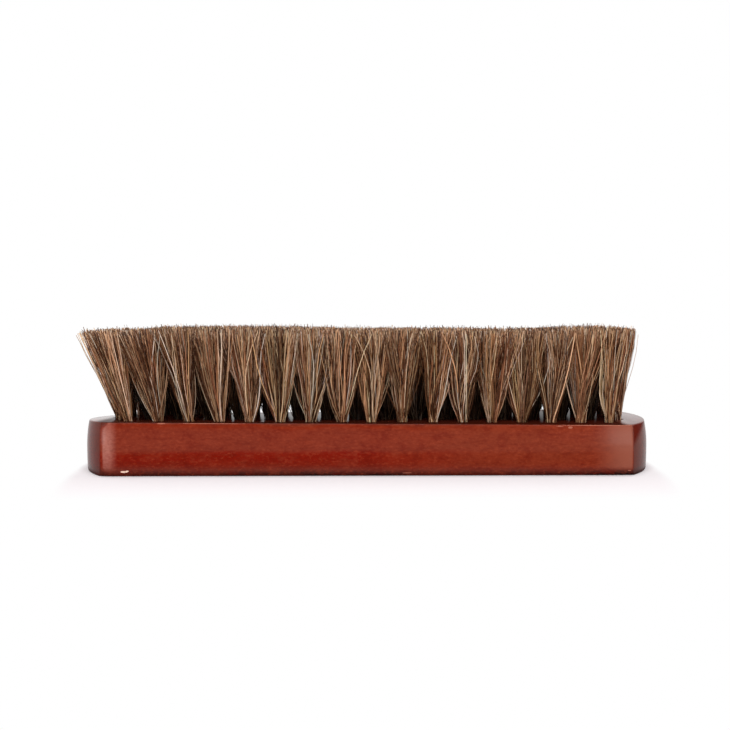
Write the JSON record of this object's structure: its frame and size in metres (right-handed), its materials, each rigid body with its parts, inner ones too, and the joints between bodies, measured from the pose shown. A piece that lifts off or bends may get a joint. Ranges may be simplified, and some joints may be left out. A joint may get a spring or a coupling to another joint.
{
  "type": "shoe shine brush",
  "caption": "Flat wooden block with bulging sides and curved ends, set with rows of drilled horsehair tufts, for polishing leather shoes.",
  "frame": {"origin": "centre of the block's flat back face, which the brush lies on", "axes": "+X along the block, +Y across it from the near side to the far side, +Z from the back face towards the hair"},
  "size_m": [0.1746, 0.05, 0.0425],
  "materials": {
    "lacquered_wood": "glossy reddish brown lacquer",
    "horsehair": "mixed brown natural horsehair",
    "anchor_steel": "flat steel wire"
  },
  "bodies": {
    "root": {"wooden_block": "lacquered_wood", "tuft_row_1": "horsehair", "tuft_row_2": "horsehair", "tuft_row_3": "horsehair", "tuft_row_4": "horsehair", "tuft_row_5": "horsehair", "anchor_row_1": "anchor_steel", "anchor_row_2": "anchor_steel", "anchor_row_3": "anchor_steel", "anchor_row_4": "anchor_steel", "anchor_row_5": "anchor_steel"}
  },
  "joints": []
}
